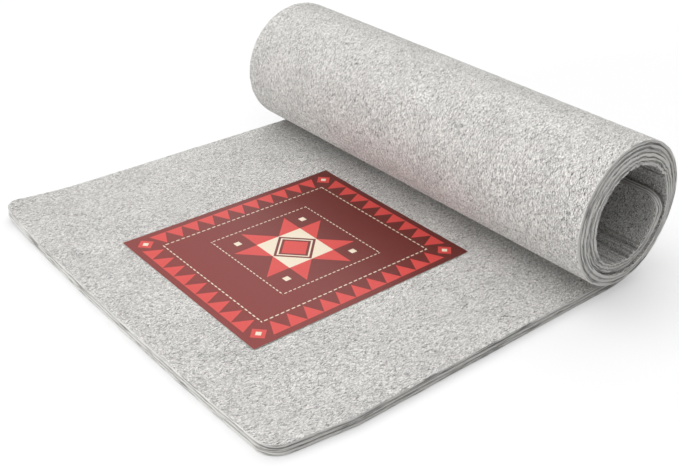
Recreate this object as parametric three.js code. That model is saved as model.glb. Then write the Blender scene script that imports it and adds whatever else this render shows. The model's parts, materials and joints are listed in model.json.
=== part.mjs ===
// Wool pressing mat: a thick felt mat, its front part laid flat and the rest rolled up, with a printed
// card lying on it. Millimetres. +X runs from the front edge to the roll, +Y to the far long edge and
// +Z up from the table. The origin is the middle of the flat part's underside.

import * as THREE from 'three';

// The felt mat, as it measures laid out flat
const MAT_LENGTH = 1540;
const MAT_WIDTH = 558.8;
const FELT_THICKNESS = 12.7;
const PLY_NAMES = ['back_ply', 'core_ply', 'face_ply'];
const CORNER_RADIUS = 20;
const CORNER_STEPS = 7;

// The flat part ends on the line where the roll lifts off the table
const FLAT_LENGTH = 450;

// The roll is a chain of half turns over that line, each a little tighter than the last
const ROLL_RADIUS = 89;
const GAP_ABOVE_FLAT = 2;
const GAP_AT_TOP = 0.8;
const GAP_UNDER_FLAP = 2.2;
const DRIFT_PER_TURN = 5.5;

// Strips hinged along their back edges stand for the bending of the felt in the roll
const STRIP_COUNT = 54;
const STEPS_PER_STRIP = 3;

// The printed card on the flat part
const CARD_LENGTH = 297;
const CARD_WIDTH = 258;
const CARD_THICKNESS = 0.4;
const CARD_FROM_FRONT = 71;
const CARD_FROM_NEAR_EDGE = 136;

const FRONT_X = -FLAT_LENGTH / 2;
const LIFT_X = FLAT_LENGTH / 2;
const ROLLED_LENGTH = MAT_LENGTH - FLAT_LENGTH;
const HALF_WIDTH = MAT_WIDTH / 2;
const HALF_TURN = Math.PI;

const FELT_TONES = [0xbdbab4, 0xc6c3bd, 0xcfccc7];
const rolledFelt = new THREE.MeshStandardMaterial({ color: 0xcfccc7, roughness: 0.95, metalness: 0 });
const printedPaper = new THREE.MeshStandardMaterial({ color: 0x7a2f2c, roughness: 0.42, metalness: 0 });

// The half turns, from the table inwards: radius to the back of the felt, height of the centre, and the
// length of felt that is used up where each begins. A gap is left to the turn outside.
function windHalfTurns() {
  const arcs = [];
  let radius = ROLL_RADIUS;
  let height = 0;
  let used = 0;
  while (used < ROLLED_LENGTH) {
    const rising = arcs.length % 2 === 0;
    const centre = rising ? height + radius : height - radius;
    arcs.push({ radius, centre, used });
    const gapBelow = arcs.length === 1 ? GAP_ABOVE_FLAT : GAP_UNDER_FLAP;
    const gap = rising ? gapBelow : GAP_AT_TOP;
    height = rising ? height + 2 * radius : height - 2 * radius;
    used += HALF_TURN * radius;
    radius -= (FELT_THICKNESS + gap) / 2;
  }
  return arcs;
}

const arcs = windHalfTurns();

// The turning angle, from the lift line, at a length of felt measured along its back
function turnAt(length) {
  const reached = arcs.filter((arc) => arc.used <= length).length;
  const arc = arcs[reached - 1];
  return (reached - 1) * HALF_TURN + (length - arc.used) / arc.radius;
}

// The half turn that holds a turning angle, and the length of felt up to that angle
function arcAt(turn) {
  return Math.min(Math.floor(turn / HALF_TURN), arcs.length - 1);
}

function lengthAt(turn) {
  const held = arcAt(turn);
  return arcs[held].used + (turn - held * HALF_TURN) * arcs[held].radius;
}

// How far the rounded corners draw in the long edges at a distance from the mat's end
function cornerInset(fromEnd) {
  const short = Math.max(CORNER_RADIUS - Math.max(fromEnd, 0), 0);
  return CORNER_RADIUS - Math.sqrt(CORNER_RADIUS ** 2 - short ** 2);
}

// The four corners of the felt's section at a turning angle: back near, back far, face far, face near
function sectionAt(turn) {
  const { radius, centre } = arcs[arcAt(turn)];
  const face = radius - FELT_THICKNESS;
  const drift = -DRIFT_PER_TURN * turn / (2 * HALF_TURN);
  const half = HALF_WIDTH - cornerInset(ROLLED_LENGTH - lengthAt(turn));
  const sides = [[radius, -half], [radius, half], [face, half], [face, -half]];
  return sides.map(([out, y]) => [
    LIFT_X + out * Math.sin(turn),
    y + drift,
    centre - out * Math.cos(turn),
  ]);
}

const fullTurn = turnAt(ROLLED_LENGTH);

// Turning angles of the sections inside the rounded corners at the loose end
const cornerTurns = Array.from({ length: CORNER_STEPS }, (_, step) => {
  const fromEnd = CORNER_RADIUS * (1 - Math.cos((step / CORNER_STEPS) * (Math.PI / 2)));
  return turnAt(ROLLED_LENGTH - fromEnd);
});

// One strip of rolled felt between two turning angles: its sections joined into a closed solid
function stripGeometry(first, last) {
  const even = Array.from({ length: STEPS_PER_STRIP + 1 }, (_, step) => (
    first + (last - first) * step / STEPS_PER_STRIP
  ));
  const cornerStart = turnAt(ROLLED_LENGTH - CORNER_RADIUS);
  const plain = even.filter((turn, step) => (
    step === 0 || step === STEPS_PER_STRIP || turn < cornerStart
  ));
  const rounded = cornerTurns.filter((turn) => turn > first && turn < last);
  const turns = [...plain, ...rounded].sort((a, b) => a - b);
  const corners = turns.flatMap(sectionAt);
  const faces = [];
  for (let step = 0; step + 1 < turns.length; step += 1) {
    for (let side = 0; side < 4; side += 1) {
      const a = 4 * step + side;
      const b = 4 * step + (side + 1) % 4;
      faces.push(a, b, b + 4, a, b + 4, a + 4);
    }
  }
  const end = 4 * (turns.length - 1);
  faces.push(0, 3, 2, 0, 2, 1, end, end + 1, end + 2, end, end + 2, end + 3);
  const geometry = new THREE.BufferGeometry();
  geometry.setAttribute('position', new THREE.Float32BufferAttribute(corners.flat(), 3));
  geometry.setIndex(faces);
  geometry.computeVertexNormals();
  return geometry;
}

// Outline of the flat part: square at the lift line, with rounded corners at the front
function flatOutline() {
  const outline = new THREE.Shape();
  outline.moveTo(LIFT_X, -HALF_WIDTH);
  outline.lineTo(LIFT_X, HALF_WIDTH);
  outline.lineTo(FRONT_X + CORNER_RADIUS, HALF_WIDTH);
  outline.absarc(FRONT_X + CORNER_RADIUS, HALF_WIDTH - CORNER_RADIUS, CORNER_RADIUS, Math.PI / 2, Math.PI);
  outline.lineTo(FRONT_X, CORNER_RADIUS - HALF_WIDTH);
  outline.absarc(FRONT_X + CORNER_RADIUS, CORNER_RADIUS - HALF_WIDTH, CORNER_RADIUS, Math.PI, 1.5 * Math.PI);
  outline.closePath();
  return outline;
}

const mat = new THREE.Group();

// The needled plies of the flat part, from the table up
const plyThickness = FELT_THICKNESS / PLY_NAMES.length;
PLY_NAMES.forEach((name, level) => {
  const geometry = new THREE.ExtrudeGeometry(flatOutline(), {
    depth: plyThickness,
    bevelEnabled: false,
    curveSegments: CORNER_STEPS,
  });
  const tone = FELT_TONES[level % FELT_TONES.length];
  const felt = new THREE.MeshStandardMaterial({ color: tone, roughness: 0.95, metalness: 0 });
  const ply = new THREE.Mesh(geometry, felt);
  ply.name = name;
  ply.position.z = level * plyThickness;
  mat.add(ply);
});

// The strips of the roll, from the lift line inwards, all of one turning angle
for (let strip = 0; strip < STRIP_COUNT; strip += 1) {
  const first = fullTurn * strip / STRIP_COUNT;
  const last = fullTurn * (strip + 1) / STRIP_COUNT;
  const mesh = new THREE.Mesh(stripGeometry(first, last), rolledFelt);
  mesh.name = `roll_strip_${String(strip + 1).padStart(2, '0')}`;
  mat.add(mesh);
}

// The printed card, loose on the felt
const card = new THREE.Mesh(new THREE.BoxGeometry(CARD_LENGTH, CARD_WIDTH, CARD_THICKNESS), printedPaper);
card.name = 'printed_card';
card.position.set(
  FRONT_X + CARD_FROM_FRONT + CARD_LENGTH / 2,
  CARD_FROM_NEAR_EDGE + CARD_WIDTH / 2 - HALF_WIDTH,
  FELT_THICKNESS + CARD_THICKNESS / 2,
);
mat.add(card);

export default mat;
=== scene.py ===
# %% [markdown]
# A wool pressing mat: a slab of needled felt, half an inch thick, laid out in front and rolled up behind,
# with a printed card on it. The solids of the frame hold the sizes and the hinges. This lesson dresses
# them: one felt surface is worked out for the whole mat, cut into runs that bend at the hinges, and given a
# felt finish. Lengths are worked out in millimetres and go into Blender in metres.

# %% Load the frame
import json
import math
import bpy
import numpy as np
from mathutils import Matrix, Vector


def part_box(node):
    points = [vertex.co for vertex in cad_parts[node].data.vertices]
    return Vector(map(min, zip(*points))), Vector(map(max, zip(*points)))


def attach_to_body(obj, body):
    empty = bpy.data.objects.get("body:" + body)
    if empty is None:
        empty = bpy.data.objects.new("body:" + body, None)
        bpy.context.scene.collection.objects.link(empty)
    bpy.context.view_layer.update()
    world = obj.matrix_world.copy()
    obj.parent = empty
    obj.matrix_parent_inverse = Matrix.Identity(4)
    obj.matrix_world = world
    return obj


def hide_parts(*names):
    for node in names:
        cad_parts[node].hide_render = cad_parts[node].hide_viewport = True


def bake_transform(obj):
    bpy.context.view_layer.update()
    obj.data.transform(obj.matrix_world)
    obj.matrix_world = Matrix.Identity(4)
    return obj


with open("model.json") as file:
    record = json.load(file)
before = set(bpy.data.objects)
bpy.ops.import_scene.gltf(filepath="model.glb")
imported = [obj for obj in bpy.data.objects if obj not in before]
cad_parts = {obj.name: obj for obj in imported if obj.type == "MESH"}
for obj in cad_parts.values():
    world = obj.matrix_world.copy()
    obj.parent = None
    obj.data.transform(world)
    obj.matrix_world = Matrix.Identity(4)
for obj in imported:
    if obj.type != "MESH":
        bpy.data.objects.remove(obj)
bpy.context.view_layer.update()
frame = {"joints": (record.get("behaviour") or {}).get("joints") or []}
scene = bpy.context.scene
MM = 0.001

# %% [markdown]
# The flat part's sizes are read off its plies in the frame, and the number of strips off the hinges. The
# roll is a chain of half turns that stand over the line where the felt lifts off the table. Each is a
# little tighter than the one outside it, so its values are repeated here from the part's source.

# %% Sizes of the mat
back_low, back_high = (np.array(corner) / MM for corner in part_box("back_ply"))
face_low, face_high = (np.array(corner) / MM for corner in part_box("face_ply"))
FRONT_X = back_low[0]
LIFT_X = back_high[0]
FLAT_LENGTH = LIFT_X - FRONT_X
HALF_WIDTH = back_high[1]
THICKNESS = face_high[2]
PLIES = 3
PLY = THICKNESS / PLIES
STRIPS = sum(joint["type"] == "hinge" for joint in frame["joints"])

MAT_LENGTH = 1540
ROLL_RADIUS = 89
GAP_ABOVE_FLAT = 2
GAP_AT_TOP = 0.8
GAP_UNDER_FLAP = 2.2
print("flat part", FLAT_LENGTH, "by", 2 * HALF_WIDTH, "by", THICKNESS, "strips", STRIPS)

# %% [markdown]
# A half turn that rises is at the back of the roll, and one that falls is at its front, over the flat part.
# Their centres lie one over the other. The turning angle counts on from one half turn to the next, from 0
# at the lift line, and so does the length of felt that they use up, measured along its back.

# %% Half turns of the roll


def wind_half_turns():
    """Radius, height of the centre and used length of each half turn: every next one is tighter by half the
    felt and its gap, and starts at the height where the last one ended."""
    turns = []
    radius, height, used = ROLL_RADIUS, 0.0, 0.0
    while used < MAT_LENGTH - FLAT_LENGTH:
        rising = len(turns) % 2 == 0
        turns.append((radius, height + radius if rising else height - radius, used))
        below = GAP_ABOVE_FLAT if len(turns) == 1 else GAP_UNDER_FLAP
        height += 2 * radius if rising else -2 * radius
        used += math.pi * radius
        radius -= (THICKNESS + (below if rising else GAP_AT_TOP)) / 2
    return np.array(turns).T


ARC_RADIUS, ARC_CENTRE, ARC_USED = wind_half_turns()


def turn_at(rolled):
    """Turning angle and half turn at a rolled length: whole half turns, and the rest over the radius."""
    arc = np.clip(np.searchsorted(ARC_USED, rolled, side="right") - 1, 0, None)
    return arc * np.pi + (rolled - ARC_USED[arc]) / ARC_RADIUS[arc], arc


def length_at(turn):
    """Rolled length at a turning angle: what the half turns before it use, and the arc since then."""
    arc = np.minimum((turn / np.pi).astype(int), len(ARC_USED) - 1)
    return ARC_USED[arc] + (turn - arc * np.pi) * ARC_RADIUS[arc]


def mat_turn(along):
    """Turning angle at a length along the whole mat: 0 over the flat part, and that of the roll behind it."""
    return turn_at(np.maximum(along - FLAT_LENGTH, 0))[0]


FULL_TURN = turn_at(np.array(MAT_LENGTH - FLAT_LENGTH))[0]
print("half turns", len(ARC_RADIUS), "full turn", round(math.degrees(FULL_TURN), 1), "degrees")

# %% [markdown]
# The camera stands where the photograph was taken from. Its place and angles were fitted to the corners of
# the flat part, so they are written as real sizes. The focal length is in pixels of the photograph's width.

# %% Camera
PHOTO_WIDTH = 679
FOCAL_PIXELS = 1021.7
SENSOR_MM = 36
CAMERA_MM = (-604.3, -810.2, 613.9)
CAMERA_YAW = math.radians(50.136)
CAMERA_PITCH = math.radians(30.471)
CAMERA_ROLL = math.radians(0.82)
NEAREST_SEEN = 20 * MM


def camera_axes():
    """Right, up and backward unit vectors: the view turns by yaw, dips by pitch and then rolls."""
    flat = math.cos(CAMERA_PITCH)
    ahead = np.array([flat * math.cos(CAMERA_YAW), flat * math.sin(CAMERA_YAW), -math.sin(CAMERA_PITCH)])
    level = np.array([math.sin(CAMERA_YAW), -math.cos(CAMERA_YAW), 0])
    upright = np.cross(level, ahead)
    right = math.cos(CAMERA_ROLL) * level + math.sin(CAMERA_ROLL) * upright
    return np.array([right, np.cross(right, ahead), -ahead])


camera_data = bpy.data.cameras.new("photo_camera")
camera_data.sensor_width = SENSOR_MM
camera_data.lens = FOCAL_PIXELS * SENSOR_MM / PHOTO_WIDTH
camera_data.clip_start = NEAREST_SEEN
camera = bpy.data.objects.new("photo_camera", camera_data)
scene.collection.objects.link(camera)
camera.matrix_world = Matrix.Translation(np.array(CAMERA_MM) * MM) @ Matrix(camera_axes().T).to_4x4()
scene.camera = camera
print("lens", round(camera_data.lens, 2), "mm")

# %% [markdown]
# Shader maths reads best as plain sums, so a small class wraps a socket: adding or comparing two of them
# adds the Math node that does it. Every other node comes from one method, which sets the node up and links
# it.

# %% Shader helper


class Link:
    """A socket's output in a node tree. Sums and comparisons of links, or of links and numbers, add nodes."""

    def __init__(self, tree, socket=None):
        self.tree = tree
        self.socket = socket

    def node(self, kind, sockets, output=0, **settings):
        """Adds a node: its settings first, then a value or a link for each named or numbered socket."""
        made = self.tree.nodes.new(kind)
        for name, value in settings.items():
            setattr(made, name, value)
        for key, value in sockets.items():
            if isinstance(value, Link):
                self.tree.links.new(value.socket, made.inputs[key])
            else:
                made.inputs[key].default_value = value
        return Link(self.tree, made.outputs[output])

    def maths(self, operation, *values):
        """Adds a Math node over the values, which are links or numbers."""
        return self.node("ShaderNodeMath", dict(enumerate(values)), operation=operation)

    def __add__(self, other):
        return self.maths("ADD", self, other)

    __radd__ = __add__

    def __sub__(self, other):
        return self.maths("SUBTRACT", self, other)

    def __rsub__(self, other):
        return self.maths("SUBTRACT", other, self)

    def __mul__(self, other):
        return self.maths("MULTIPLY", self, other)

    __rmul__ = __mul__

    def __lt__(self, other):
        return self.maths("LESS_THAN", self, other)

    def __gt__(self, other):
        return self.maths("GREATER_THAN", self, other)

    def __abs__(self):
        return self.maths("ABSOLUTE", self)

    def smooth(self, low, high):
        """0 below low, 1 above high and a soft step between."""
        return self.node(
            "ShaderNodeMapRange", {"Value": self, "From Min": low, "From Max": high},
            interpolation_type="SMOOTHSTEP",
        )

    def noise(self, scale, detail, roughness):
        """Noise over this vector, with about scale lumps a metre."""
        return self.node(
            "ShaderNodeTexNoise", {"Vector": self, "Scale": scale, "Detail": detail, "Roughness": roughness},
        )

    def mapped(self, turn=0.0, stretch=(1, 1, 1)):
        """This vector turned about its third axis and stretched."""
        return self.node("ShaderNodeMapping", {"Vector": self, "Rotation": (0, 0, turn), "Scale": stretch})

    def mix(self, first, second):
        """From the first colour to the second by this factor."""
        return self.node(
            "ShaderNodeMix", {"Factor": self, 6: first, 7: second}, output=2, data_type="RGBA",
        )


def new_material(name):
    """A material with its node tree as a Link, its Principled shader and its output."""
    material = bpy.data.materials.new(name)
    material.use_nodes = True
    nodes = material.node_tree.nodes
    return material, Link(material.node_tree), nodes["Principled BSDF"], nodes["Material Output"]


def both(first, second):
    """1 where two masks are both 1: their product."""
    return first.maths("MULTIPLY", first, second)


def either(first, second):
    """1 where one of two masks is 1: the larger of them."""
    return first.maths("MAXIMUM", first, second)


def attach(link, shader, name):
    """Feeds a link into a named input of a shader."""
    link.tree.links.new(link.socket, shader.inputs[name])


print("shader helper")

# %% [markdown]
# The photograph has a white ground and broad soft lights from behind the mat, on its left and its right.
# One more stands low on the left, and a weak one lights the near end of the roll. A sun lamp with a wide
# disc gives such a light everywhere alike. The sky is brighter overhead than at its rim, as under a large
# soft box. The camera sees the floor a little whiter than the light finds it, with the mat's shadow left in
# it.

# %% Light and floor
WHITE = (1, 1, 1, 1)
SKY_RIM, SKY_TOP, SKY_POWER = 0.03, 1.52, 3.0
LAMPS = {
    "window": {"power": 0.91, "disc": 50, "from": (-0.36, 0.5, 1.0)},
    "right": {"power": 0.74, "disc": 50, "from": (0.75, 0.5, 0.85)},
    "low": {"power": 1.55, "disc": 20, "from": (-1.0, 0.08, 0.13)},
    "near": {"power": 0.24, "disc": 60, "from": (-0.15, -1.0, 0.3)},
}
FLOOR_HALF = 6.0
FLOOR_DROP = -0.3 * MM
FLOOR_GREY = 0.56
FLOOR_LIFT = 0.38
FLOOR_SEEN = 0.93


def camera_sees(link):
    """1 where the camera, a mirror or glass looks straight at a surface, and 0 for the light it gives."""
    path = link.tree.nodes.new("ShaderNodeLightPath")
    kinds = ("Is Camera Ray", "Is Glossy Ray", "Is Transmission Ray")
    straight, mirrored, through = (Link(link.tree, path.outputs[kind]) for kind in kinds)
    return either(either(straight, mirrored), through)


world = bpy.data.worlds.new("studio")
scene.world = world
world.use_nodes = True
sky = Link(world.node_tree)
background = world.node_tree.nodes["Background"]
background.inputs["Color"].default_value = WHITE
height = sky.node("ShaderNodeSeparateXYZ", {"Vector": sky.node("ShaderNodeTexCoord", {})}, output=2)
dome = SKY_RIM + (SKY_TOP - SKY_RIM) * height.maths("POWER", either(height, 0.0), SKY_POWER)
direct = camera_sees(sky)
attach(dome + direct * (1 - dome), background, "Strength")

for name, lamp in LAMPS.items():
    sun_data = bpy.data.lights.new(name, "SUN")
    sun_data.energy = lamp["power"]
    sun_data.angle = math.radians(lamp["disc"])
    sun = bpy.data.objects.new(name, sun_data)
    scene.collection.objects.link(sun)
    sun.rotation_mode = "QUATERNION"
    sun.rotation_quaternion = Vector(lamp["from"]).to_track_quat("Z", "Y")

floor_mesh = bpy.data.meshes.new("floor")
corner = np.array([[-1, -1, 0], [1, -1, 0], [1, 1, 0], [-1, 1, 0]]) * FLOOR_HALF
floor_mesh.from_pydata((corner + [0, 0, FLOOR_DROP]).tolist(), [], [(0, 1, 2, 3)])
floor = bpy.data.objects.new("floor", floor_mesh)
scene.collection.objects.link(floor)
paper, link, shader, output = new_material("floor")
direct = camera_sees(link)
shades = [(grey, grey, grey, 1) for grey in (FLOOR_GREY, FLOOR_SEEN)]
attach(direct.mix(*shades), shader, "Base Color")
shader.inputs["Roughness"].default_value = 1.0
shader.inputs["Specular IOR Level"].default_value = 0.0
glow = link.node("ShaderNodeEmission", {"Color": WHITE, "Strength": 1.0})
lit = Link(link.tree, shader.outputs[0])
seen = link.node("ShaderNodeMixShader", {0: direct * FLOOR_LIFT, 1: lit, 2: glow})
link.tree.links.new(seen.socket, output.inputs["Surface"])
floor_mesh.materials.append(paper)
scene.view_settings.view_transform = "Standard"
print("floor and light")

# %% [markdown]
# The felt is one surface over the whole mat, worked out as if it lay flat and then carried round the roll.
# A point has a length along the mat, a place across it and a depth, from 0 at the back to the felt's
# thickness at the face. Carrying it keeps the depth square to the felt.
#
# The mat bends at hinges between strips, and a round strip that is laid flat would leave a row of waves. A
# roll of flat strips would leave none, but look like a polygon. So the roll is a little of both: its outer
# turn is the rounder one, and its hidden turns are nearly flat from hinge to hinge.

# %% Carry the felt round the roll
ROUND_SHARE, FLAT_SHARE = 0.4, 0.85
SHARE_TURNS = (5.4, 7.4)
SETTLE_ROUNDS = 3


def ramp(value):
    """The value, held between 0 and 1."""
    return np.clip(value, 0, 1)


def soft_step(value):
    """From 0 to 1 over the same range, level at both ends: three squares less two cubes."""
    return ramp(value) ** 2 * (3 - 2 * ramp(value))


def wound(along, depth):
    """Place over the table of a point on a round roll: straight on over the flat part, and over the roll its
    depth inside the half turn's radius. Two columns, x and z."""
    turn, arc = turn_at(np.maximum(along - FLAT_LENGTH, 0))
    inside = ARC_RADIUS[arc] - depth
    x = LIFT_X + np.minimum(along - FLAT_LENGTH, 0) + inside * np.sin(turn)
    return np.stack([x, ARC_CENTRE[arc] - inside * np.cos(turn)], axis=-1)


hinge_along = FLAT_LENGTH + length_at(np.arange(STRIPS + 1) * FULL_TURN / STRIPS)
hinges = wound(hinge_along, 0.0)
chords = np.diff(hinges, axis=0)
headings = np.concatenate([[0.0], np.unwrap(np.arctan2(chords[:, 1], chords[:, 0]))])
hinge_open = np.concatenate([[0.0], np.cumsum(np.hypot(chords[:, 0], chords[:, 1]))])
strip_middles = FLAT_LENGTH + length_at((np.arange(STRIPS) + 0.5) * FULL_TURN / STRIPS)
bend_marks = wound(np.concatenate([[2 * FLAT_LENGTH - strip_middles[0]], strip_middles]), THICKNESS)


def rolled_place(along, depth):
    """Place of a point on the roll, between the round roll and the one that opens quite flat. For the second,
    a flat point turns about its hinge by the share of the hinge's angle that the bend gives it there. That
    share depends on the place, so a few rounds settle it."""
    turn = mat_turn(along)
    hinge = np.clip(np.round(turn * STRIPS / FULL_TURN).astype(int), 0, STRIPS - 1)
    opened = np.interp(along, hinge_along, hinge_open) + np.minimum(along - FLAT_LENGTH, 0)
    opened = opened - hinge_open[hinge]
    start, span = bend_marks[hinge], np.diff(bend_marks, axis=0)[hinge]
    inwards = soft_step((turn - SHARE_TURNS[0]) / (SHARE_TURNS[1] - SHARE_TURNS[0]))
    share = ROUND_SHARE + (FLAT_SHARE - ROUND_SHARE) * inwards
    circle = wound(along, depth)
    spot = circle
    for _ in range(SETTLE_ROUNDS):
        bend = soft_step(((spot - start) * span).sum(-1) / (span ** 2).sum(-1))
        heading = headings[hinge] + bend * np.diff(headings)[hinge]
        ahead = np.stack([np.cos(heading), np.sin(heading)], -1)
        inward = np.stack([-np.sin(heading), np.cos(heading)], -1)
        flat = hinges[hinge] + opened[..., None] * ahead + depth[..., None] * inward
        spot = circle + share[..., None] * (flat - circle)
    return spot


wave = rolled_place(strip_middles, np.zeros(STRIPS)) - wound(strip_middles, 0.0)
print("flattened at mid strip by up to", round(np.hypot(wave[:, 0], wave[:, 1]).max(), 2), "mm")

# %% [markdown]
# Small warps show on the real mat: the front edge bows out, the front corner near the camera is drawn in,
# the far one stands up a little, and the turns creep out at both ends of the roll, each by its own amount,
# and less at the far end. The creep shears the felt a little as well, so that the end of the roll has
# hardly a step.

# %% Warps of the mat
CORNER_PULL = 12.2
PULL_REACH = 88
PULL_WIDTH = 240
CORNER_LIFT = 7.5
LIFT_REACH = 120
CREEP_TURNS = np.radians([0, 90, 180, 225, 270, 330, 370, 450, 540, 630, 720, 830])
CREEP = [0, 4.9, 4.8, 6.0, 7.4, 10.2, 11.2, 9.6, 7.4, 8.6, 10.4, 9.6]
CREEP_LAGS = (-0.4, 0.0, 0.4)
CREEP_SHEAR = 1.4
FAR_CREEP = -0.4
FRONT_BOW = 5.6
BOW_MIDDLE = -28
BOW_REACH = 180


def place(along, across, depth):
    """Table place of a point of the felt: on the roll, slid across by the creep of its turn, which changes in
    a straight line from the near edge to the far one, and by the pull on the near corner, slid out by the bow
    and raised by the lift of the far corner. The last three fade over their reach."""
    turn = mat_turn(along)
    spot = rolled_place(along, depth)
    creep = sum(np.interp(turn + lag, CREEP_TURNS, CREEP) for lag in CREEP_LAGS) / len(CREEP_LAGS)
    creep = creep + CREEP_SHEAR * soft_step(turn / np.pi) * depth / THICKNESS
    creep = creep * (1 + (FAR_CREEP - 1) * (across / HALF_WIDTH + 1) / 2)
    bow = FRONT_BOW * ramp(1 - ((across - BOW_MIDDLE) / HALF_WIDTH) ** 2) * ramp(1 - along / BOW_REACH)
    pull = CORNER_PULL * ramp(1 - along / PULL_REACH) * ramp((-across - HALF_WIDTH) / PULL_WIDTH + 1)
    lift = CORNER_LIFT * (ramp(1 - along / LIFT_REACH) * ramp((across - HALF_WIDTH) / LIFT_REACH + 1)) ** 2
    return np.stack([spot[..., 0] - bow, across - creep + pull, spot[..., 1] + lift], axis=-1)


print("creep at the near end up to", max(CREEP) + CREEP_SHEAR, "mm")

# %% [markdown]
# Felt is never quite even. Its two sides have fine lumps and broad waves, and rolling wrinkles the inner
# side. In the tightest turns the wrinkles deepen to creases near the cut edges. These come from one smooth
# noise, with a seed for each use. At the cut edges the felt also swells out to the next turn or draws back
# from it, by an amount that is set turn by turn.

# %% Lumps of the felt
HASH_U, HASH_V, HASH_SEED, HASH_MIX = 374761393, 668265263, 2246822519, 1274126177
WORD = 0xFFFFFFFF
SEEDS = {
    "face": 11, "wrinkle": 13, "back": 17, "sway": 41, "crease": 43,
    "shift": 23, "wander": 29, "groove": 31, "fuzz": 37,
}


def lattice_noise(u, v, seed):
    """Smooth noise from -1 to 1: random values at whole numbers of u and v, blended by a soft step. A value
    is a hash of its two whole numbers and the seed."""
    iu, iv = np.floor(u).astype(np.int64), np.floor(v).astype(np.int64)
    fu, fv = soft_step(u - iu), soft_step(v - iv)

    def at(a, b):
        mixed = (a * HASH_U + b * HASH_V + seed * HASH_SEED) & WORD
        mixed = ((mixed ^ (mixed >> 13)) * HASH_MIX) & WORD
        return (mixed ^ (mixed >> 16)) / 2**31 - 1

    low = at(iu, iv) * (1 - fu) + at(iu + 1, iv) * fu
    high = at(iu, iv + 1) * (1 - fu) + at(iu + 1, iv + 1) * fu
    return low * (1 - fv) + high * fv


FINE_LUMP, FINE_SPAN = 0.14, 4.2
BROAD_LUMP, BROAD_SPAN = 0.22, 38
WRINKLE, WRINKLE_SPAN, WRINKLE_RUN = 0.22, 6.5, 150
CREASE, CREASE_SPAN, CREASE_RUN, CREASE_WIDTH = 2.4, 3.8, 150, 0.30
CREASE_TURNS = np.radians([430, 470, 748, 775])
CREASE_HELD = [0, 1, 1, 0]
CREASE_REACH = 190
SWAY, SWAY_RUN, SWAY_SPAN = 2.6, 45, 60
SWELL_TURNS = np.radians([20, 80, 130, 190, 270, 320, 350, 372, 395, 445, 480])
SWELL = [0, 0.85, 0.65, 0.35, 1.35, 1.2, 0, -0.8, -1.8, -1.5, 0]
SWELL_REACH = 26
LOOSE_TURNS = np.radians([728, 750, 785, 815])
LOOSE = [0, 1.3, 1.1, 0]


def lumps(along, across, seed):
    """Height of the felt's own unevenness: fine lumps and broad waves."""
    fine = FINE_LUMP * lattice_noise(along / FINE_SPAN, across / FINE_SPAN, seed)
    return fine + BROAD_LUMP * lattice_noise(along / BROAD_SPAN, across / BROAD_SPAN, seed + 1)


def by_edge(across, reach):
    """1 at the long cut edges, fading to 0 over a reach from them by a soft step."""
    return soft_step((np.abs(across) - HALF_WIDTH) / reach + 1)


def creases(along, across):
    """How deep in a crease each point is, from 0 to 1: creases are the lines where a noise, drawn out across
    the mat, crosses zero. They are in the tightest turns only, and fade away from the cut edges. The finish
    also paints shade into the creases by this value."""
    sway = SWAY * lattice_noise(across / SWAY_RUN, along / SWAY_SPAN, SEEDS["sway"])
    squeeze = np.abs(lattice_noise((along + sway) / CREASE_SPAN, across / CREASE_RUN, SEEDS["crease"]))
    held = np.interp(mat_turn(along), CREASE_TURNS, CREASE_HELD) * by_edge(across, CREASE_REACH)
    return held * ramp(1 - squeeze / CREASE_WIDTH)


def face_depth(along, across):
    """The face: the thickness and its lumps, and long wrinkles where rolling squeezes the inner side, which
    deepen to creases. Along the cut edges the felt swells out to the next turn, or draws back from it."""
    turn = mat_turn(along)
    swell = by_edge(across, SWELL_REACH) * np.interp(turn, SWELL_TURNS, SWELL)
    ripple = lattice_noise(along / WRINKLE_SPAN, across / WRINKLE_RUN, SEEDS["wrinkle"])
    squeezed = WRINKLE * ramp(turn / np.pi) * ripple
    even = THICKNESS + lumps(along, across, SEEDS["face"])
    return even + squeezed + swell - CREASE * creases(along, across)


def back_depth(along, across):
    """The back: its lumps rise from the table and never dip below it. Near the loose end the cut edges draw
    in from the turn outside."""
    loose = by_edge(across, SWELL_REACH) * np.interp(mat_turn(along), LOOSE_TURNS, LOOSE)
    return np.abs(lumps(along, across, SEEDS["back"])) + loose


print("creased turns", np.degrees(CREASE_TURNS).round(), "degrees")

# %% [markdown]
# A cut felt edge isn't a flat wall. The knife leaves the upper rim soft and the lower one nearly square,
# each needled ply bulges a little and the joints between the plies show as fine grooves. That section is
# carried along the mat's outline, round its corners, with its points close together about the grooves. The
# face and the back are grids of rows along the mat and columns across it.

# %% Section and outline of the mat
RIM = 0.9
LOWER_RIM = 0.5
CORNER_RADIUS = 20
INNER_CORNER = CORNER_RADIUS - RIM
INNER_HALF = HALF_WIDTH - RIM
ROW_STEP, CREASED_STEP = 3.0, 0.75
FEWEST_ROWS = 4
COLUMN_STEP = 3.2
CORNER_STEPS = 9
GROOVE_DEPTH, GROOVE_WIDTH = 1.15, 0.6
GROOVE_SHARE, GROOVE_SWING, GROOVE_RUN = 0.75, 0.35, 11
WANDER, WANDER_RUN, WANDER_ROWS = 0.2, 17, 5.7
PLY_BULGE = 0.22
PLY_SHIFT, SHIFT_RUN, SHIFT_ROWS = 0.45, 26, 7.3
FUZZ, FUZZ_RUN, FUZZ_RISE = 0.16, 2.6, 1.1
EDGE_SLANT = 1.7
CUT_PAINTED_SHADE = 0.06

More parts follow.
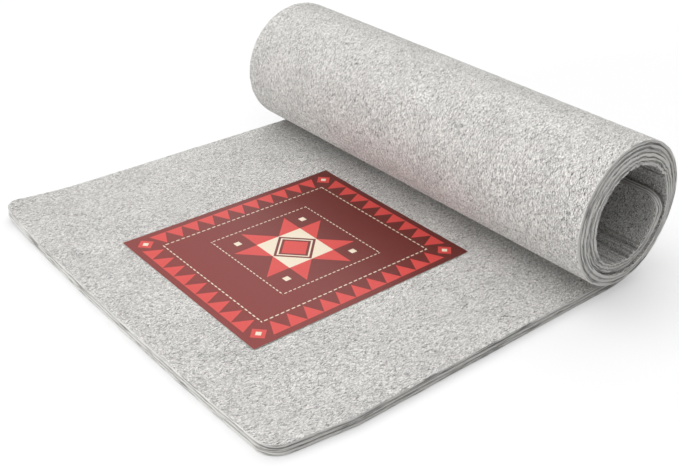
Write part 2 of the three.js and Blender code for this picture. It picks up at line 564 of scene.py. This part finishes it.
RIM_ANGLES = np.radians([30, 60, 90])
UPPER_DEPTHS = THICKNESS - np.array([2.75, 3.6, 4.23, 4.85, 5.5, 6.1])
upper_depth = np.concatenate([THICKNESS - RIM + RIM * np.cos(RIM_ANGLES), UPPER_DEPTHS])
upper_out = np.concatenate([RIM * np.sin(RIM_ANGLES), np.full(len(UPPER_DEPTHS), RIM)])
falling = RIM_ANGLES[::-1]
lower_depth = np.concatenate([THICKNESS - UPPER_DEPTHS[::-1], LOWER_RIM * (1 - np.cos(falling))])
lower_out = np.concatenate([np.full(len(UPPER_DEPTHS), RIM), RIM - LOWER_RIM * (1 - np.sin(falling))])
SECTION_DEPTH = np.concatenate([upper_depth, lower_depth])
SECTION_OUT = np.concatenate([upper_out, lower_out])
HALF_SECTION = len(upper_depth)

middle_columns = int(2 * (INNER_HALF - INNER_CORNER) / COLUMN_STEP)
COLUMN_TURN = np.radians(np.concatenate([
    np.linspace(-90, 0, CORNER_STEPS + 1)[:-1],
    np.zeros(middle_columns),
    np.linspace(0, 90, CORNER_STEPS + 1)[1:],
]))
share_reach = 1 + 2 * CORNER_STEPS / (middle_columns - 1)
COLUMN_SHARE = np.clip(np.linspace(-share_reach, share_reach, len(COLUMN_TURN)), -1, 1)
COLUMN_Y = (INNER_HALF - INNER_CORNER) * COLUMN_SHARE + INNER_CORNER * np.sin(COLUMN_TURN)
COLUMN_INSET = RIM + INNER_CORNER * (1 - np.cos(COLUMN_TURN))
print("columns", len(COLUMN_Y), "section points", len(SECTION_OUT))


def section_out(around, depth, out):
    """How far the cut edge stands out: the rounded rim, a half sine for each ply's bulge, its shift, a bell
    curve for each ply groove, and fuzz; and how deep in a groove each point is, from 0 to about 1. The shift
    and the groove's wander take rows of the noise that lie far apart, one for each ply."""
    upright = ramp(out / RIM) ** 3
    ply = np.clip(np.floor(depth / PLY), 0, PLIES - 1)
    nearest = np.round(depth / PLY)
    bulge = PLY_BULGE * np.sin(np.pi * (depth / PLY - ply))
    shift = PLY_SHIFT * lattice_noise(around / SHIFT_RUN, ply * SHIFT_ROWS + 0.5, SEEDS["shift"])
    wander = WANDER * lattice_noise(around / WANDER_RUN, nearest * WANDER_ROWS, SEEDS["wander"])
    from_groove = (depth - wander - PLY * np.clip(nearest, 1, PLIES - 1)) / GROOVE_WIDTH
    strength = GROOVE_SHARE + GROOVE_SWING * lattice_noise(around / GROOVE_RUN, ply, SEEDS["groove"])
    groove = strength * np.exp(-from_groove ** 2)
    fuzz = FUZZ * lattice_noise(around / FUZZ_RUN, depth / FUZZ_RISE, SEEDS["fuzz"])
    return out + upright * (bulge + shift - GROOVE_DEPTH * groove + fuzz), upright * groove


# %% [markdown]
# One run of felt is a closed surface: a face grid, a back grid, the cut edges round its outline, and a
# plain wall at each end that meets another run. The creased runs have closer rows. Each point keeps its
# flat coordinates, and one more value that tells the finish where the felt is cut, which it paints paler as
# painted light, and where it paints shade into the grooves and the creases.

# %% Build one run of felt between two lengths


def grid_quads(index):
    """Four corners of every cell of a grid of point numbers."""
    return np.stack([index[:-1, :-1], index[1:, :-1], index[1:, 1:], index[:-1, 1:]], axis=-1).reshape(-1, 4)


def outline_bands(rows, has_front, has_end):
    """The rim of a run as bands of grid rows, grid columns and outward directions along and across the mat:
    its two long edges, joined round the front or the loose end if the run has one."""
    up = np.arange(rows + 1)
    still = np.zeros(rows + 1)
    last_column = len(COLUMN_Y) - 1
    near_side = (up[::-1], np.zeros_like(up), still, still - 1)
    far_side = (up, np.full_like(up, last_column), still, still + 1)
    span = np.arange(1, last_column)
    turned = COLUMN_TURN[span]
    front_row = (np.zeros_like(span), span, -np.cos(turned), np.sin(turned))
    end_row = (np.full_like(span, rows), span[::-1], np.cos(turned[::-1]), np.sin(turned[::-1]))
    if has_front:
        bands = [[near_side, front_row, far_side]]
    elif has_end:
        bands = [[far_side, end_row, near_side]]
    else:
        bands = [[near_side], [far_side]]
    return [[np.concatenate(part) for part in zip(*band)] for band in bands]


def cut_edge_points(along, across, out_along, out_across):
    """Flat points of the cut edge outside each rim point: the section, stretched in depth to meet the face
    and the back there. Also their mark: a small value where the felt is cut, rising to about 1 in grooves,
    which the finish paints as shade, faint on the cut face and deep in the grooves."""
    depth = np.broadcast_to(SECTION_DEPTH[:, None], (len(SECTION_DEPTH), len(along)))
    out, groove = section_out(along + EDGE_SLANT * across, depth, SECTION_OUT[:, None])
    lifted = depth + (face_depth(along, across) - THICKNESS) * depth / THICKNESS
    lifted = lifted + back_depth(along, across) * (1 - depth / THICKNESS)
    mark = ramp(SECTION_OUT[:, None] / RIM) ** 2 * CUT_PAINTED_SHADE + (1 - CUT_PAINTED_SHADE) * groove
    return np.stack([along + out * out_along, across + out * out_across, lifted], -1), mark


def felt_run(first, last):
    """Flat points and quads of the mat between two lengths along it, the mark of each point, which is below
    0 in the creases, where it paints shade, and the number of quads in the walls, which come last."""
    has_front, has_end = first <= 0, last >= MAT_LENGTH
    start = COLUMN_INSET if has_front else np.full_like(COLUMN_Y, first)
    stop = MAT_LENGTH - COLUMN_INSET if has_end else np.full_like(COLUMN_Y, last)
    creased = CREASE_TURNS[0] < mat_turn(np.array((first + last) / 2)) < CREASE_TURNS[-1]
    rows = max(FEWEST_ROWS, round((last - first) / (CREASED_STEP if creased else ROW_STEP)))
    share = np.linspace(0, 1, rows + 1)[:, None]
    along = start + (stop - start) * share
    across = np.broadcast_to(COLUMN_Y, along.shape)
    face = np.arange(along.size).reshape(along.shape)
    back = face + along.size

    flat = [np.stack([along, across, face_depth(along, across)], -1).reshape(-1, 3),
            np.stack([along, across, back_depth(along, across)], -1).reshape(-1, 3)]
    # The face's mark is below 0 in the creases, where the finish paints shade.
    edge = [-creases(along, across).ravel(), np.zeros(along.size)]
    quads = [grid_quads(face), grid_quads(back[:, ::-1])]
    count = 2 * along.size
    ends = {}
    for row, column, out_along, out_across in outline_bands(rows, has_front, has_end):
        rim_points, mark = cut_edge_points(along[row, column], across[row, column], out_along, out_across)
        flat.append(rim_points.reshape(-1, 3))
        edge.append(mark.ravel())
        section = count + np.arange(mark.size).reshape(mark.shape)
        count += mark.size
        strip = np.vstack([face[row, column], section, back[row, column]])
        quads.append(grid_quads(strip[:, ::-1]))
        for side, at_column in (("near", 0), ("far", len(COLUMN_Y) - 1)):
            for at_row in (0, rows):
                found = np.nonzero((row == at_row) & (column == at_column))[0]
                if len(found):
                    ends[side, at_row] = section[:, found[0]]

    walls = 0
    for at_row, open_end in ((0, not has_front), (rows, not has_end)):
        if open_end:
            near, far = ends["near", at_row], ends["far", at_row]
            top = np.concatenate([near[:HALF_SECTION][::-1], face[at_row], far[:HALF_SECTION]])
            bottom = np.concatenate([near[HALF_SECTION:], back[at_row], far[HALF_SECTION:][::-1]])
            wall = np.vstack([bottom, top]) if at_row else np.vstack([top, bottom])
            quads.append(grid_quads(wall)[:, ::-1])
            walls += len(quads[-1])
    return np.concatenate(flat), np.concatenate(quads), np.concatenate(edge), walls


def add_mesh(name, points, quads, material, sharp=0):
    """A new object from points in millimetres and quads, smooth but for the last few quads, which are walls
    with sharp edges, so that they don't bend the shading of the surface beside them."""
    mesh = bpy.data.meshes.new(name)
    mesh.vertices.add(len(points))
    mesh.vertices.foreach_set("co", (points * MM).astype(np.float32).ravel())
    mesh.loops.add(quads.size)
    mesh.loops.foreach_set("vertex_index", quads.astype(np.int32).ravel())
    mesh.polygons.add(len(quads))
    mesh.polygons.foreach_set("loop_start", np.arange(0, quads.size, 4, dtype=np.int32))
    mesh.update(calc_edges=True)
    mesh.polygons.foreach_set("use_smooth", np.arange(len(quads)) < len(quads) - sharp)
    loop_edges = np.empty(quads.size, np.int32)
    mesh.loops.foreach_get("edge_index", loop_edges)
    sharp_edges = np.zeros(len(mesh.edges), bool)
    sharp_edges[loop_edges[quads.size - 4 * sharp:]] = True
    mesh.edges.foreach_set("use_edge_sharp", sharp_edges)
    mesh.materials.append(material)
    made = bpy.data.objects.new(name, mesh)
    scene.collection.objects.link(made)
    return made


def volume(points, quads):
    """Volume inside closed quads: the sum of the wedges from the origin to their two triangles."""
    a, b, c, d = (points[quads[:, k]] for k in range(4))
    wedge = np.einsum("ij,ij->i", a, np.cross(b, c)) + np.einsum("ij,ij->i", a, np.cross(c, d))
    return wedge.sum() / 6


print("a run has", 2 * len(SECTION_OUT), "section points at each row")

# %% [markdown]
# Wool felt is a mat of crimped fibres in several greys. Seen close, dark hairs lie over a light fleck,
# roughly along the mat; from a step away they blend into a soft grey. The finish follows the felt's own
# flat coordinates, so that it stays on the felt when the mat unrolls.

# %% Felt finish
FELT_LIGHT = (0.97, 0.95, 0.92, 1)
FELT_MIDDLE = (0.11, 0.106, 0.10, 1)
FELT_DARK = (0.05, 0.049, 0.046, 1)
FLECK_SCALE, FIBRE_SCALE = 1250, 1300
CLOUD_SCALE, CLOUD_SHARE = 26, 0.08
CURL_SCALE, CURL_REACH = 170.0, 2.5 * MM
HAIR_SCALE, HAIR_DRAWN, HAIR_SHARE = 1700, (0.1, 1, 1), 0.72
HAIR_TURNS = (-0.4, 0.05, 0.45)
STREAK_SCALE, STREAK_DRAWN, STREAK_SHARE = 680, (0.035, 0.035, 1), 0.74
CUT_PAINTED_LIGHT = 0.9
PAINTED_CREASE_SHADE = 0.52
FELT_BUMP = 0.9 * MM


def felt_material():
    """Two greys flecked together, crossed by thin dark hairs, with a fibrous bump and a faint sheen. The cut
    edge is painted paler, a painted light for its shaded faces, and streaked along the plies, and painted
    shade darkens the grooves and the creases."""
    material, link, shader, _ = new_material("wool_felt")
    flat = link.node("ShaderNodeAttribute", {}, output=1, attribute_name="felt_place")
    # This attribute marks the cut edge, the painted shade of its grooves, and below 0 the painted shade of
    # the creases.
    edge = link.node("ShaderNodeAttribute", {}, output=2, attribute_name="cut_and_painted_shade")
    curl = link.node(
        "ShaderNodeVectorMath",
        {0: flat.node("ShaderNodeTexNoise", {"Vector": flat, "Scale": CURL_SCALE, "Detail": 1.0}, output=1),
         1: (CURL_REACH, CURL_REACH, CURL_REACH), 2: flat},
        operation="MULTIPLY_ADD",
    )
    fleck = flat.noise(FLECK_SCALE, 2, 0.75)
    streak = flat.mapped(0, STREAK_DRAWN).noise(STREAK_SCALE, 3, 0.7).smooth(0.51, 0.62)
    cut = edge.smooth(0.02, 0.05)
    cloud = flat.noise(CLOUD_SCALE, 3, 0.6)
    hairs = 0.0
    for turn in HAIR_TURNS:
        strand = curl.mapped(turn).mapped(0, HAIR_DRAWN).noise(HAIR_SCALE, 2, 0.55)
        hairs = strand.smooth(0.56, 0.65) + hairs
    tone = fleck.smooth(0.385, 0.495) * (1 - CLOUD_SHARE) + cloud.smooth(0.3, 0.7) * CLOUD_SHARE
    colour = tone.mix(FELT_MIDDLE, FELT_LIGHT)
    colour = (hairs * HAIR_SHARE).mix(colour, FELT_DARK)
    # Painted light: the cut edge is painted paler for its shaded faces, which also evens out its dark
    # streaks.
    colour = (cut * CUT_PAINTED_LIGHT).mix(colour, FELT_LIGHT)
    # Dark streaks along the plies, and painted shade from the mark: deep in the ply grooves, faint over the
    # whole cut face.
    colour = either(cut * streak * STREAK_SHARE, edge).mix(colour, FELT_DARK)
    # Painted shade in the creases, from the mark below 0.
    colour = (either(0.0 - edge, 0.0) * PAINTED_CREASE_SHADE).mix(colour, FELT_DARK)
    attach(colour, shader, "Base Color")
    height = fleck * 0.8 + hairs * 0.35 + flat.noise(FIBRE_SCALE, 2, 0.6) * 0.5 - cut * streak * 1.2
    bump = link.node("ShaderNodeBump", {"Height": height, "Strength": 0.55, "Distance": FELT_BUMP})
    attach(bump, shader, "Normal")
    shader.inputs["Roughness"].default_value = 0.96
    shader.inputs["Specular IOR Level"].default_value = 0.15
    shader.inputs["Sheen Weight"].default_value = 0.12
    shader.inputs["Sheen Roughness"].default_value = 0.6
    return material


wool_felt = felt_material()
print("felt finish")

# %% [markdown]
# The mat is cut into runs at the middle of each hinged strip, so that every run crosses one hinge, and the
# seams between runs are shut.

# %% Make the runs of felt
cuts = np.concatenate([[0], strip_middles[:-1], [MAT_LENGTH]])
felt_pieces = []
felt_volume = 0.0
for k in range(STRIPS):
    flat, quads, edge, walls = felt_run(cuts[k], cuts[k + 1])
    points = place(flat[:, 0], flat[:, 1], flat[:, 2])
    felt_volume += volume(points, quads)
    name = "flat_felt" if k == 0 else f"rolled_felt_{k + 1:02d}"
    piece = add_mesh(name, points, quads, wool_felt, sharp=walls)
    spot = piece.data.attributes.new("felt_place", "FLOAT_VECTOR", "POINT")
    spot.data.foreach_set("vector", (flat * MM).astype(np.float32).ravel())
    cut_and_painted_shade = piece.data.attributes.new("cut_and_painted_shade", "FLOAT", "POINT")
    cut_and_painted_shade.data.foreach_set("value", edge.astype(np.float32))
    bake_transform(piece)
    nodes = ["back_ply", "core_ply", "face_ply"] if k == 0 else []
    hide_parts(*nodes, f"roll_strip_{k + 1:02d}")
    felt_pieces.append(piece)
triangles = sum(2 * len(piece.data.polygons) for piece in felt_pieces)
print("felt runs", len(felt_pieces), "triangles", triangles, "litres", round(felt_volume / 1e6, 3))

# %% [markdown]
# A sheet of stiff printed paper lies loose on the felt. It is a real sheet: a front, a back and cut edges,
# flat but for corners that curl up a little. It rests on the highest lumps of the felt under it.

# %% Printed card
card_low, card_high = (np.array(corner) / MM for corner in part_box("printed_card"))
CARD_SIZE = card_high[:2] - card_low[:2]
CARD_MIDDLE = (card_high[:2] + card_low[:2]) / 2
CARD_THICKNESS = 0.4
CARD_CURL = 0.9
CARD_CLEAR = 0.02
CARD_CELLS = (72, 62)


def card_sheet():
    """Points and quads of a closed sheet: a grid raised by the curl, the same grid below it, and a band of
    quads round the rim. The curl grows with the fourth power of the distance from the middle one way and the
    second power the other way, and a slow sine makes the corners unlike. Also u and v from 0 to 1 at each
    point, and the number of quads on the front."""
    u, v = np.meshgrid(*(np.linspace(0, 1, cells + 1) for cells in CARD_CELLS), indexing="ij")
    x, y = CARD_MIDDLE[0] + CARD_SIZE[0] * (u - 0.5), CARD_MIDDLE[1] + CARD_SIZE[1] * (v - 0.5)
    unlike = 0.6 + 0.4 * np.sin(5 * u + 3 * v)
    curl = CARD_CURL * (np.abs(2 * u - 1) ** 4 * np.abs(2 * v - 1) ** 2) * unlike
    low = face_depth(x - FRONT_X, y).max() + CARD_CLEAR + curl
    sides = [np.stack([x, y, low + lift], -1).reshape(-1, 3) for lift in (CARD_THICKNESS, 0)]
    top = np.arange(u.size).reshape(u.shape)
    rim = np.concatenate([top[:, 0], top[-1, 1:], top[::-1, -1][1:], top[0, ::-1][1:]])
    band = grid_quads(np.vstack([rim, rim + u.size]))
    front, back = grid_quads(top), grid_quads(top[:, ::-1] + u.size)
    corner_uv = np.tile(np.stack([u, v], -1).reshape(-1, 2), (2, 1))
    return np.concatenate(sides), np.concatenate([front, back, band]), corner_uv, len(front)


points, quads, corner_uv, printed_quads = card_sheet()
print("card", CARD_SIZE.round(1), "mm, volume", round(volume(points, quads) / 1000, 2), "ml")

# %% [markdown]
# The print is a plain patchwork design in two reds and cream: a border of triangles, corner diamonds, rows
# of running stitches and a pieced star in the middle, all from the sheet's own coordinates. The border is
# measured in millimetres from the edges, and the star in units of half its middle square. The ground red
# is painted darker towards the roll, a painted shade.

# %% Print of the card
GROUND_RED = (0.208, 0.017, 0.012, 1)
PAINTED_SHADE_RED = (0.125, 0.013, 0.009, 1)
BRIGHT_RED = (0.64, 0.058, 0.05, 1)
CREAM = (0.80, 0.70, 0.55, 1)
PAPER = (0.80, 0.78, 0.73, 1)
PAPER_SHADE = (0.66, 0.64, 0.59, 1)
PRINT_GRAIN, PAPER_GRAIN = 1500, 900
PAPER_BUMP = 0.2 * MM
BORDER_IN, BORDER_OUT = 8.0, 30.0
TEETH = (11, 9)
CORNER_RED, CORNER_CREAM = 10.5, 4.2
BORDER_STITCH = {"out": 3.4, "half": 0.7, "step": 7.0, "share": 0.62}

STAR_UNIT = 31.0
HEART_RED = 0.62
RING_MIDDLE, RING_HALF = 0.80, 0.045
CREAM_FROM, CREAM_TO = 0.98, 1.99
PATCH_FROM, PATCH_TO = 1.38, 1.62
STAR_STITCH = {"out": 2.2, "half": 0.02, "step": 6.0, "share": 0.6}


def card_print():
    """Masks of red and cream over a dark ground, from comparing distances to the edges and to the middle. The
    ground is painted darker towards the roll: painted shade.
    """
    material, link, shader, _ = new_material("printed_paper")
    spot = link.node("ShaderNodeUVMap", {}, uv_map="sheet")
    split = link.node("ShaderNodeSeparateXYZ", {"Vector": spot})
    x = (split - 0.5) * CARD_SIZE[0]
    y = (Link(link.tree, split.socket.node.outputs[1]) - 0.5) * CARD_SIZE[1]
    ax, ay = abs(x), abs(y)
    from_x, from_y = CARD_SIZE[0] / 2 - ax, CARD_SIZE[1] / 2 - ay
    on_end = from_x < from_y
    from_edge = link.maths("MINIMUM", from_x, from_y)
    along = on_end * y + (1 - on_end) * x
    runs = [(size - 2 * BORDER_OUT) / 2 for size in CARD_SIZE]
    period = on_end * (2 * runs[1] / TEETH[1]) + (1 - on_end) * (2 * runs[0] / TEETH[0])
    tooth = abs(link.maths("FRACT", along.maths("DIVIDE", along, period) + 0.5) - 0.5) * 2
    height = (from_edge - BORDER_IN) * (1 / (BORDER_OUT - BORDER_IN))
    geese = both(both(height > 0, height < 1), tooth < 1 - height)
    in_corner = both(from_x < BORDER_OUT, from_y < BORDER_OUT)
    corner_mid = (BORDER_IN + BORDER_OUT) / 2
    corner_far = abs(from_x - corner_mid) + abs(from_y - corner_mid)
    red = either(both(geese, 1 - in_corner), both(in_corner, corner_far < CORNER_RED))
    cream = both(in_corner, corner_far < CORNER_CREAM)

    wide = link.maths("MAXIMUM", ax, ay) * (1 / STAR_UNIT)
    thin = link.maths("MINIMUM", ax, ay) * (1 / STAR_UNIT)
    points = both(both(wide > 1, thin < 1), both(thin > wide - 1, wide < 2))
    red = either(red, points)
    diamond = (ax + ay) * (1 / STAR_UNIT)
    cream = either(cream, both(wide < 1, both(diamond > CREAM_FROM, diamond < CREAM_TO)))
    red = either(red, diamond < HEART_RED)
    cream = either(cream, abs(diamond - RING_MIDDLE) < RING_HALF)
    cream = either(cream, both(thin > PATCH_FROM, wide < PATCH_TO))

    dash = link.maths("FRACT", along * (1 / BORDER_STITCH["step"])) < BORDER_STITCH["share"]
    stitched = BORDER_OUT + BORDER_STITCH["out"]
    border_line = both(abs(from_edge - stitched) < BORDER_STITCH["half"], dash)
    star_along = (ax > ay) * y + (ay > ax) * x
    star_dash = link.maths("FRACT", star_along * (1 / STAR_STITCH["step"])) < STAR_STITCH["share"]
    star_line = both(abs(wide - STAR_STITCH["out"]) < STAR_STITCH["half"], star_dash)
    cream = either(cream, either(border_line, star_line))
    # Painted shade: the ground red darkens from the front edge towards the roll.
    ground = split.smooth(0.0, 1.0).mix(GROUND_RED, PAINTED_SHADE_RED)
    colour = red.mix(ground, BRIGHT_RED)
    colour = cream.mix(colour, CREAM)
    grain = link.node("ShaderNodeTexCoord", {}, output=3).noise(PRINT_GRAIN, 3, 0.6)
    colour = (grain.smooth(0.35, 0.75) * 0.03).mix(colour, PAPER)
    attach(colour, shader, "Base Color")
    attach(0.28 + grain * 0.14, shader, "Roughness")
    shader.inputs["Specular IOR Level"].default_value = 0.24
    bump = link.node("ShaderNodeBump", {"Height": grain, "Strength": 0.12, "Distance": PAPER_BUMP})
    attach(bump, shader, "Normal")
    return material


def bare_paper():
    """The unprinted back and the cut edges: off-white fibres, lighter and darker by a fine noise."""
    material, link, shader, _ = new_material("bare_paper")
    grain = link.node("ShaderNodeTexCoord", {}, output=3).noise(PAPER_GRAIN, 3, 0.65)
    attach(grain.smooth(0.3, 0.7).mix(PAPER_SHADE, PAPER), shader, "Base Color")
    bump = link.node("ShaderNodeBump", {"Height": grain, "Strength": 0.2, "Distance": PAPER_BUMP})
    attach(bump, shader, "Normal")
    shader.inputs["Roughness"].default_value = 0.8
    return material


card = add_mesh("card_sheet", points, quads, card_print(), sharp=len(quads) - 2 * printed_quads)
card.data.materials.append(bare_paper())
card.data.polygons.foreach_set("material_index", (np.arange(len(quads)) >= printed_quads).astype(np.int32))
sheet_uv = card.data.uv_layers.new(name="sheet")
sheet_uv.data.foreach_set("uv", corner_uv[quads.ravel()].astype(np.float32).ravel())
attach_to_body(card, "card")
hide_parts("printed_card")
print("card triangles", 2 * len(quads))
